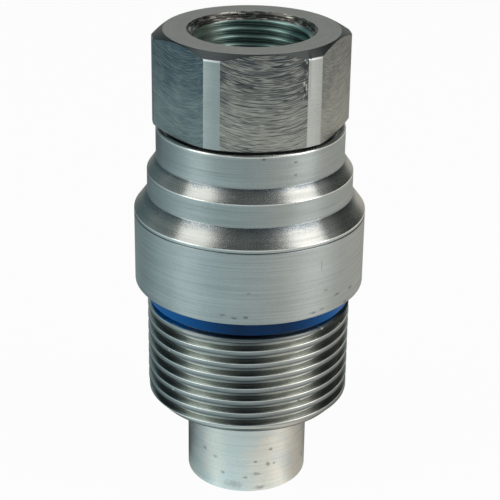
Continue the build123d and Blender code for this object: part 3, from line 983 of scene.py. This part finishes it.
def make_camera():
    """The photograph's camera: it stands in front and above, looks down at the piece, and is rolled."""
    level = Vector((sin(VIEW_TURN), cos(VIEW_TURN), 0))
    ahead = level * cos(CAMERA_PITCH) - Vector((0, 0, sin(CAMERA_PITCH)))
    right = Vector((cos(VIEW_TURN), -sin(VIEW_TURN), 0))
    above = right.cross(ahead)
    across = cos(CAMERA_ROLL) * right + sin(CAMERA_ROLL) * above
    upward = cos(CAMERA_ROLL) * above - sin(CAMERA_ROLL) * right
    turn = Matrix((across, upward, -ahead)).transposed().to_4x4()
    place = (right * CAMERA_SIDE - level * CAMERA_DISTANCE) * MM
    place.z = CAMERA_HEIGHT * MM
    data = bpy.data.cameras.new("camera")
    data.lens = CAMERA_LENS
    data.sensor_width = SENSOR_WIDTH
    data.clip_start = 0.01
    data.clip_end = 100
    camera = bpy.data.objects.new("camera", data)
    camera.matrix_world = Matrix.Translation(place) @ turn
    bpy.context.scene.collection.objects.link(camera)
    bpy.context.scene.camera = camera


def soft_box(name, azimuth, elevation, distance, width, height, power, colour):
    """A soft box aimed at the middle of the object. Azimuth is seen from above, from the camera's side
    towards the right, in degrees, and the sizes are in metres."""
    around = radians(azimuth) - VIEW_TURN
    up = radians(elevation)
    aim = Vector((0, 0, LAMP_AIM))
    way = Vector((sin(around) * cos(up), -cos(around) * cos(up), sin(up)))
    data = bpy.data.lights.new(name, "AREA")
    data.shape = "RECTANGLE"
    data.size = width
    data.size_y = height
    data.energy = power
    data.color = colour
    lamp = bpy.data.objects.new(name, data)
    turn = way.to_track_quat("Z", "Y").to_matrix().to_4x4()
    lamp.matrix_world = Matrix.Translation(aim + way * distance) @ turn
    lamp.visible_camera = False
    bpy.context.scene.collection.objects.link(lamp)


def towards(side, back, azimuth, width):
    """1 where a direction from the object has this azimuth, from the camera's side towards the right, and
    0 from this many degrees off it on. Side and back are the direction's parts along X and Y."""
    around = radians(azimuth) - VIEW_TURN
    return (side * sin(around) - back * cos(around)).rises(cos(radians(width)), 1)


def make_lights():
    """Two large soft boxes at the sides, a dim one behind, and a world that is paler at the horizon than
    overhead, as in a room. The camera sees it white."""
    for row in SOFT_BOXES:
        soft_box(*row)
    world = bpy.data.worlds.new("studio")
    world.use_nodes = True
    bpy.context.scene.world = world
    tree = Tree(world.node_tree)
    way = tree.node("ShaderNodeTexCoord", {}, {}, "Generated")
    side, back, rise = [tree.node("ShaderNodeSeparateXYZ", {}, {0: way}, axis) for axis in range(3)]
    ceiling_back = tree.mixed(side.rises(-0.6, 0.6), CEILING_BACK_LEFT, CEILING_BACK_RIGHT)
    ceiling = tree.mixed(back.rises(-0.1, 0.3), CEILING_FRONT, ceiling_back)
    walls = tree.mixed(back.rises(-0.1, 0.3), WALL_FRONT, WALL_BACK)
    for azimuth, width, patch in WALL_PATCHES:
        walls = tree.mixed(towards(side, back, azimuth, width), walls, patch)
    room = tree.mixed(rise.rises(0.25, 0.6), walls, ceiling)
    seen = tree.node("ShaderNodeLightPath", {}, {}, "Is Camera Ray")
    colour = tree.mixed(seen, room, WHITE)
    background = tree.node("ShaderNodeBackground", {}, {"Color": colour, "Strength": 1.0})
    tree.node("ShaderNodeOutputWorld", {}, {"Surface": background})


def make_floor():
    """A wide pale floor that the camera sees as white, with the object's shadow kept. Mirror rays see mostly
    its glow, and light and shade are painted into that glow: a painted shadow under the collars, painted
    brightness at the foot, and a fall-off with distance, most of all in front, where the camera stands.
    Radii are in millimetres, azimuths in degrees from the camera's side."""
    mesh = bpy.data.meshes.new("floor")
    signs = ((-1, -1), (1, -1), (1, 1), (-1, 1))
    corners = [(x * FLOOR_HALF, y * FLOOR_HALF, 0) for x, y in signs]
    mesh.from_pydata(corners, [], [(0, 1, 2, 3)])
    floor = bpy.data.objects.new("floor", mesh)
    bpy.context.scene.collection.objects.link(floor)
    pale = Finish("pale_floor")
    side = pale.x / (pale.radius + 1)
    back = pale.y / (pale.radius + 1)
    # Painted light and shade in the glow: bright at the foot, a painted shadow under the collars that is
    # weaker beside the soft boxes, and darker behind and far off.
    foot = 1 - pale.radius.rises(*FOOT_END)
    shadow = pale.radius.rises(*SHADOW_START) * (1 - pale.radius.rises(*SHADOW_END))
    far = pale.radius.rises(*FAR_FALL)
    beside = towards(side, back, -55, 29) + towards(side, back, 58, 32)
    level = 0.75 + foot * (towards(side, back, 6, 60) * 0.6 - 0.25) - shadow * (0.46 - beside * 0.34)
    level = level + towards(side, back, 0, 75) * (1 - pale.radius.rises(150, 205)) * 0.2
    level = level - far * (0.14 + towards(side, back, 15, 70) * 0.28)
    turn = 1 + abs(side) * 0.16 + side * 0.06 - back.rises(0, 1) * 0.4
    turn = turn - towards(side, back, -125, 40) * 0.25
    turn = turn - ((1 - pale.radius.rises(26, 100)) * 0.34 + foot * 0.4) * back.rises(-0.3, 0.5)
    strips = towards(side, back, 136, 35) - towards(side, back, -44, 30) * 2.2
    turn = turn + strips * pale.radius.rises(200, 260) * 0.16
    turn = turn + towards(side, back, 75, 45) * pale.radius.within(165, 215, 25) * 0.12
    turn = turn + towards(side, back, -150, 30) * (0.3 - pale.radius.rises(150, 200) * 0.5)
    tint = pale.mixed(side.rises(-0.8, 0.8), FLOOR_LEFT, FLOOR_RIGHT)
    shown = pale.mixed((level * turn).clamped(), BLACK, tint)
    rays = [f"Is {kind} Ray" for kind in ("Camera", "Glossy", "Transmission")]
    camera, glossy, through = [pale.node("ShaderNodeLightPath", {}, {}, ray) for ray in rays]
    shown = pale.mixed(camera, shown, WHITE)
    lit = pale.node("ShaderNodeBsdfDiffuse", {}, {"Color": srgb(*FLOOR_SURFACE)})
    white = pale.node("ShaderNodeEmission", {}, {"Color": shown, "Strength": 1.0})
    share = camera * CAMERA_SHARE + (glossy + through).clamped() * MIRROR_SHARE
    mesh.materials.append(pale.closed(pale.node("ShaderNodeMixShader", {}, {0: share, 1: lit, 2: white})))


def main():
    """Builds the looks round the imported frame."""
    dress(valve_body_piece(), "nipple_body", "zinc_plated_steel", body_steel(), "valve_body")
    dress(port_adapter_piece(), "nipple_body", "zinc_plated_steel", adapter_steel(), "port_adapter")
    dress(bumper_ring_piece(), "nipple_body", "blue_polyurethane", blue_polyurethane(), "bumper_ring")
    rubber = seal_rubber()
    plastic = backup_plastic()
    paint("adapter_o_ring", rubber)
    paint("poppet_o_ring", rubber)
    paint("adapter_backup_ring", plastic)
    paint("poppet_backup_ring", plastic)
    for node, name, colour, roughness in INNER_STEELS:
        paint(node, plain_steel(name, colour, roughness))
    make_camera()
    make_lights()
    make_floor()
    bpy.context.scene.view_settings.view_transform = "Standard"


main()
